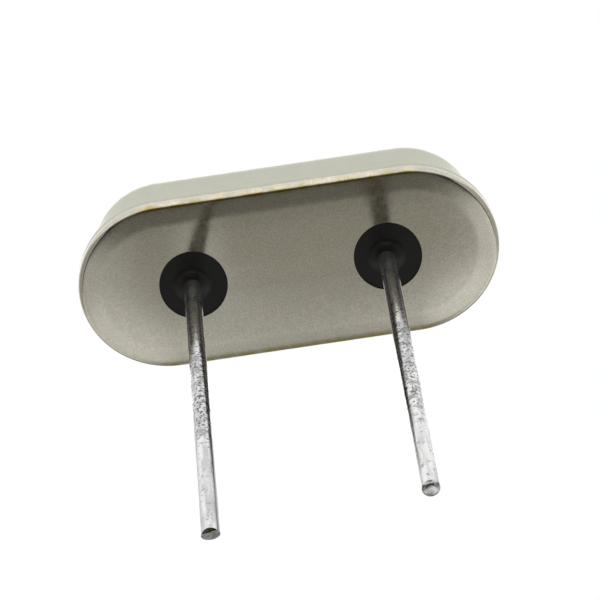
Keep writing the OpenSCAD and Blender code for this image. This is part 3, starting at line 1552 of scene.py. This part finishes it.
@dataclass
class Lead:
    """A headed, tinned wire, cut off with side cutters.

    Attributes:
        length: How far it reaches below the seating plane.
        bites: The flats of its cut end.
        tip_radius: Rounding of their edges.
        lead_x: Its distance from the middle, along X.
        radius: Radius of the wire.
        swell: How much thicker it is under the head.
        head_radius: Radius of the head.
        head_from: Height of the head's underside.
        head_thickness: Thickness of the head.
        head_edge: Rounding of its edges.
        flat_out: Distance from the axis at which one face fills the ends.
        turns: Number of facets in a full turn.
        same_way: Cosine of the turn below which a face counts as part of a flat.
    """

    length: float
    bites: tuple[Bite, ...]
    tip_radius: float
    lead_x: float = LEAD_X
    radius: float = LEAD_RADIUS
    swell: float = 0.02
    head_radius: float = 0.43
    head_from: float = HEAD_FROM
    head_thickness: float = 0.12
    head_edge: float = 0.03
    flat_out: float = 0.05
    turns: int = 128
    same_way: float = 0.9999

    def section(self) -> list[Corner]:
        """Lays out the half section.

        Returns:
            Its corners, from the uncut end up to the head.
        """
        head_top = self.head_from + self.head_thickness
        return [
            Corner(self.flat_out, -self.length),
            Corner(self.radius, -self.length),
            Corner(self.radius, 0),
            Corner(self.radius + self.swell, self.head_from),
            Corner(self.head_radius, self.head_from, self.head_edge, Facets.STEP),
            Corner(self.head_radius, head_top, self.head_edge, Facets.STEP),
            Corner(self.flat_out, head_top),
        ]

    def bite(self, piece: bpy.types.Object) -> None:
        """Cuts the end of the wire to its flats and rounds their edges.

        Args:
            piece: The wire on the Z axis, in edit mode.
        """
        for bite in self.bites:
            bpy.ops.mesh.select_all(action="SELECT")
            bpy.ops.mesh.bisect(
                plane_co=(0, bite.lowest, -self.length),
                plane_no=bite.facing(),
                use_fill=True,
                clear_outer=True,
            )

        def on_flat(edge: Any) -> bool:
            """Whether the edge borders one of the flats."""
            return any(
                face.normal.dot(bite.facing()) > self.same_way
                for face in edge.link_faces
                for bite in self.bites
            )

        Bench.select(piece, on_flat, "EDGE")
        bpy.ops.mesh.bevel(
            offset=self.tip_radius, segments=Facets.EDGE.value, affect="EDGES"
        )

    def build(self, side: Side, finish: Finish) -> bpy.types.Object:
        """Models one lead and dresses it.

        Args:
            side: The end that the lead is at.
            finish: The finish of the wire.

        Returns:
            The finished piece.
        """
        name = f"lead_wire_{side.index}"
        piece = Bench.draw_section(name, self.section(), closed=False)
        Bench.spin(piece, self.turns)
        Bench.fill_flat(piece, -self.length)
        Bench.fill_flat(piece, self.head_from + self.head_thickness)
        self.bite(piece)
        Bench.shift(side.value * self.lead_x)
        return settle(Bench.finish(piece), finish, f"lead_{side.index}")


@dataclass
class Resonator:
    """The quartz strip with its films, clips and adhesive, sealed in the can.

    Attributes:
        clip: Finish of the spring clips.
        quartz: Finish of the strip.
        film: Finish of the films on it.
        adhesive: Finish of the dabs that join it to the clips.
    """

    clip: Finish
    quartz: Finish
    film: Finish
    adhesive: Finish

    def dress(self, nodes: dict[str, bpy.types.Object]) -> None:
        """Gives the frame's own inner pieces their finishes.

        Args:
            nodes: The frame's nodes by name.
        """
        finishes = {
            "quartz_blank": self.quartz,
            "electrode_top": self.film,
            "electrode_bottom": self.film,
        }
        for side in Side:
            finishes[f"spring_clip_{side.index}"] = self.clip
            finishes[f"adhesive_{side.index}"] = self.adhesive
        made: dict[str, bpy.types.Material] = {}
        for name, finish in finishes.items():
            if finish.name not in made:
                made[finish.name] = finish.build()
            paint(nodes[name], made[finish.name])
            LOG.info("%s: the frame's own piece, finish %s", name, finish.name)


def paint(piece: bpy.types.Object, material: bpy.types.Material) -> None:
    """Gives a piece one material all over."""
    piece.data.materials.clear()
    piece.data.materials.append(material)


def settle(piece: bpy.types.Object, finish: Finish, node: str) -> bpy.types.Object:
    """Dresses a piece, sets it on the frame's body and reports it.

    Args:
        piece: The finished mesh.
        finish: Its finish.
        node: The frame's node that it stands for.

    Returns:
        The same piece.
    """
    known = bpy.data.materials.get(finish.name)
    paint(piece, known or finish.build())
    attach(piece, BODY)
    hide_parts(node)
    low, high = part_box(node)
    corners = [Vector(c) for c in piece.bound_box]
    off = max(
        abs(pick(c[axis.value] for c in corners) - edge[axis.value])
        for pick, edge in ((min, low), (max, high))
        for axis in Axis
    )
    LOG.info(
        "%s: %d faces, finish %s, box within %.4f mm of %s",
        piece.name,
        len(piece.data.polygons),
        finish.name,
        off / MM,
        node,
    )
    return piece


# ---------------------------------------------------------------- the studio


@dataclass(frozen=True)
class Patch:
    """A soft-edged patch of the studio, painted over the patches before it.

    Attributes:
        towards: Direction of its middle.
        inner: Degrees from the middle to where it starts to fade.
        outer: Degrees from the middle to where it has faded out.
        colour: Its brightness and colour.
    """

    towards: Direction
    inner: float
    outer: float
    colour: Colour


def bearing(across: float, forward: float) -> Direction:
    """A direction given in degrees from straight down.

    Args:
        across: Degrees towards +X.
        forward: Degrees towards +Y, 180 being straight up.

    Returns:
        The direction, one unit long.
    """
    a, f = math.radians(across), math.radians(forward)
    return (math.sin(a), math.cos(a) * math.sin(f), -math.cos(a) * math.cos(f))


@dataclass
class Studio:
    """Plain soft light all round, a white ground behind the part and a pale floor.

    Attributes:
        ambient: The light where no patch lies.
        patches: The patches in the order in which they are painted.
        floor_height: Height of the floor in millimetres.
        floor_size: Length of its sides in millimetres.
        floor_colour: Its colour.
        floor_shade: Brightness of its darker clouds, as a share of that.
        floor_clouds: Where the clouds lie.
    """

    ambient: Colour = (0.42, 0.415, 0.395)
    patches: tuple[Patch, ...] = (
        Patch(bearing(0, 180), 40.0, 95.0, (0.97, 0.97, 0.965)),
        Patch(bearing(0, 156), 8.0, 30.0, (1.7, 1.7, 1.68)),
        Patch(bearing(0, 95), 15.0, 50.0, (0.38, 0.38, 0.365)),
        Patch(bearing(0, 60), 21.2, 25.0, (0.32, 0.315, 0.295)),
        Patch(bearing(-38, 50), 22.0, 34.0, (0.78, 0.78, 0.76)),
        Patch(bearing(38, 50), 22.0, 34.0, (0.92, 0.92, 0.90)),
        Patch(bearing(-14.7, 23.2), 2.0, 12.1, (0.52, 0.52, 0.49)),
        Patch(bearing(21, 24), 2.0, 16.0, (0.84, 0.84, 0.82)),
        Patch(bearing(-8.8, 33.4), 2.0, 9.7, (0.81, 0.81, 0.795)),
        Patch(bearing(7.1, 33.5), 2.0, 7.6, (0.90, 0.90, 0.885)),
        Patch(bearing(2.1, 22.5), 1.0, 7.5, (0.345, 0.335, 0.30)),
        Patch(bearing(0, -26), 41.9, 47.6, (0.148, 0.146, 0.13)),
        Patch(bearing(0, -8), 8.0, 18.0, (0.075, 0.058, 0.025)),
        Patch(bearing(-38, 0), 20.0, 27.0, (0.045, 0.038, 0.052)),
        Patch(bearing(38, 0), 20.0, 27.0, (0.045, 0.038, 0.052)),
        Patch(bearing(-64, 5), 29.0, 35.0, (0.42, 0.41, 0.39)),
        Patch(bearing(64, 5), 29.0, 35.0, (0.50, 0.49, 0.47)),
        Patch(bearing(0, -110), 64.0, 72.0, (0.97, 0.97, 0.965)),
    )
    floor_height: float = -200.0
    floor_size: float = 2400.0
    floor_colour: Colour = (0.8, 0.8, 0.78)
    floor_shade: float = 0.98
    floor_clouds: Pattern = Pattern(0.01, 2.0)

    def build(self) -> None:
        """Sets the colour view, the world and the floor."""
        bpy.context.scene.view_settings.view_transform = "Standard"
        self._light()
        self._lay_floor()

    def _light(self) -> None:
        """Paints the studio's soft light round the part, white where it is looked at."""
        world = bpy.data.worlds.new("studio")
        bpy.context.scene.world = world
        world.use_nodes = True
        shade = Shade(world.node_tree)
        direction = shade.add("TexCoord").outputs["Generated"]
        glow: Any = self.ambient
        for patch in self.patches:
            towards = Vector(patch.towards).normalized()
            near = shade.add(
                "VectorMath", {0: direction, 1: towards}, operation="DOT_PRODUCT"
            ).outputs["Value"]
            low, high = (math.cos(math.radians(a)) for a in (patch.outer, patch.inner))
            glow = shade.blend(shade.fade(near, low, high), glow, patch.colour)
        lit = shade.add("Background", {"Color": glow})
        seen = shade.add("Background", {"Color": WHITE})
        shade.add("OutputWorld", {0: self._for_camera(shade, lit, seen)})

    def _lay_floor(self) -> None:
        """Lays the pale floor well below the leads."""
        Bench.clear()
        bpy.ops.mesh.primitive_plane_add(
            size=self.floor_size * MM, location=(0, 0, self.floor_height * MM)
        )
        floor = bpy.context.object
        floor.name = "floor"
        floor.visible_glossy = False
        material = bpy.data.materials.new("pale_floor")
        material.use_nodes = True
        shade = Shade(material.node_tree)
        darker = tuple(c * self.floor_shade for c in self.floor_colour)
        colour = shade.blend(shade.noise(self.floor_clouds), self.floor_colour, darker)
        matt = shade.add("BsdfDiffuse", {"Color": colour})
        white = shade.add("Emission", {"Color": WHITE})
        shade.add("OutputMaterial", {0: self._for_camera(shade, matt, white)})
        paint(floor, material)
        floor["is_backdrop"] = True

    @staticmethod
    def _for_camera(shade: Shade, plain: Any, seen: Any) -> bpy.types.NodeSocket:
        """Shows one shader to the camera and the other to all else.

        Args:
            shade: The tree of the world or of a material.
            plain: The shader node that lights the part.
            seen: The shader node that the camera sees.

        Returns:
            The socket of the two together.
        """
        camera = shade.add("LightPath").outputs["Is Camera Ray"]
        shaders = {0: camera, 1: plain.outputs[0], 2: seen.outputs[0]}
        return shade.add("MixShader", shaders).outputs[0]


@dataclass(frozen=True)
class StudioCamera:
    """The camera: a long lens close below the part, turned a little.

    Attributes:
        azimuth: Degrees round from the -Y side towards +X.
        elevation: Degrees above the horizon.
        roll: Degrees that the frame is turned.
        distance: Distance to the plane of the origin, in millimetres.
        focal: Focal length in pixels of the frame.
        frame: Width and height of the frame in pixels.
        origin_at: Where the origin lies in the frame, in pixels.
        sensor: Width of the sensor, in millimetres.
        near: Nearest distance that shows, in millimetres.
        far: Furthest distance that shows, in millimetres.
    """

    azimuth: float = 0.72
    elevation: float = -64.05
    roll: float = -7.74
    distance: float = 88.0
    focal: float = 3544.5
    frame: float = 600.0
    origin_at: tuple[float, float] = (289.57, 270.85)
    sensor: float = 36.0
    near: float = 1.0
    far: float = 10000.0

    def build(self) -> None:
        """Makes the camera and sets it as the scene's."""
        a, e, r = (math.radians(v) for v in (self.azimuth, self.elevation, self.roll))
        back = Vector((math.sin(a) * math.cos(e), -math.cos(a) * math.cos(e), math.sin(e)))
        flat = Vector((0, 0, 1)).cross(back).normalized()
        up = back.cross(flat)
        right = math.cos(r) * flat + math.sin(r) * up
        top = math.cos(r) * up - math.sin(r) * flat
        aside = (self.origin_at[0] - self.frame / 2) / self.focal * self.distance
        above = -(self.origin_at[1] - self.frame / 2) / self.focal * self.distance
        place = back * self.distance - right * aside - top * above
        data = bpy.data.cameras.new("studio_camera")
        data.sensor_width = self.sensor
        data.lens = self.focal / self.frame * self.sensor
        data.clip_start, data.clip_end = self.near * MM, self.far * MM
        camera = bpy.data.objects.new("studio_camera", data)
        bpy.context.scene.collection.objects.link(camera)
        turn = Matrix((right, top, back)).transposed().to_4x4()
        camera.matrix_world = Matrix.Translation(place * MM) @ turn
        bpy.context.scene.camera = camera


# ---------------------------------------------------------------- all together


@dataclass
class CrystalOscillator:
    """The whole unit: can, base, seals, leads and the resonator inside.

    Attributes:
        drawn: Finish of the can.
        coined: Finish of the base.
        glass: Finish of the seals.
        tin: Finish of the leads.
        clip: Finish of the spring clips.
        quartz: Finish of the quartz strip.
        film: Finish of the films on it.
        dab: Finish of the adhesive.
        can: The can's sizes.
        base: The base's sizes.
        seal: The sizes of each seal.
        leads: The sizes of the lead at each end.
    """

    drawn: Finish = WeldedNickel(
        name="drawn_nickel",
        slot="can_metal",
        colour=(0.528, 0.535, 0.437),
        mottle=(0.515, 0.52, 0.428),
        roughness=(0.2, 0.28),
        fleck=0.015,
        grain=Relief(0.5, 0.0008),
    )
    coined: Finish = CoinedNickel(
        name="coined_nickel",
        slot="base_metal",
        colour=(0.62, 0.585, 0.51),
        mottle=(0.60, 0.585, 0.50),
        roughness=(0.10, 0.14),
        fleck=0.09,
        grain=Relief(0.5, 0.0006),
        waves=((-2.08, 2.6), (2.8, 0.85)),
        wave_reach=0.8,
        wave_span=(-1.4, 1.4),
    )
    glass: Finish = SealGlass("black_glass", "seal_glass", (0.009, 0.008, 0.008))
    tin: Finish = TinnedWire(
        name="tinned_wire",
        slot="lead_metal",
        colour=(0.90, 0.90, 0.895),
        streak=(0.62, 0.62, 0.625),
        dull=(0.40, 0.405, 0.405),
        blotch=(0.40, 0.40, 0.41),
        pit=(0.14, 0.14, 0.145),
    )
    clip: Finish = SpringStrip("spring_strip", "clip_metal", (0.70, 0.66, 0.55))
    quartz: Finish = LappedQuartz("lapped_quartz", "quartz", (0.88, 0.93, 0.95))
    film: Finish = MetalFilm(
        "metal_film", "film_metal", (0.86, 0.86, 0.84), warm=(0.86, 0.8342, 0.7728)
    )
    dab: Finish = FilledAdhesive("filled_adhesive", "adhesive", (0.5, 0.5, 0.49))
    can: Can = field(default_factory=Can)
    base: BasePlate = field(default_factory=BasePlate)
    seal: GlassSeal = field(default_factory=GlassSeal)
    leads: dict[Side, Lead] = field(
        default_factory=lambda: {
            Side.MINUS_X: Lead(
                length=12.656,
                bites=(Bite(-0.11, -19.5, -3.0), Bite(-0.11, 37.0, 6.0)),
                tip_radius=0.005,
            ),
            Side.PLUS_X: Lead(
                length=12.05, bites=(Bite(-0.48, 2.0, 4.0),), tip_radius=0.12
            ),
        }
    )

    def build(self, nodes: dict[str, bpy.types.Object]) -> None:
        """Builds and dresses every piece in order.

        Args:
            nodes: The frame's nodes by name.
        """
        self.can.build(self.drawn)
        self.base.build(self.coined)
        for side in Side:
            self.seal.build(side, self.glass)
            self.leads[side].build(side, self.tin)
        inside = Resonator(self.clip, self.quartz, self.film, self.dab)
        inside.dress(nodes)


def corners_of(bounds: Iterable[Vector]) -> list[list[float]]:
    """A box's two corners as plain lists of numbers."""
    return [[float(v) for v in corner] for corner in bounds]


def main(frame: dict[str, Any], cad_box: list[list[float]]) -> None:
    """Builds the unit, the studio and the camera on the loaded frame.

    Args:
        cad_box: The frame's box just after loading; not used.
    """
    CrystalOscillator().build(frame["nodes"])
    Studio().build()
    StudioCamera().build()
    LOG.info("all pieces are built")


if __name__ == "__main__":
    logging.basicConfig(level=logging.INFO, format="%(name)s: %(message)s")
    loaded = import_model()
    main(loaded, corners_of(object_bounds()))
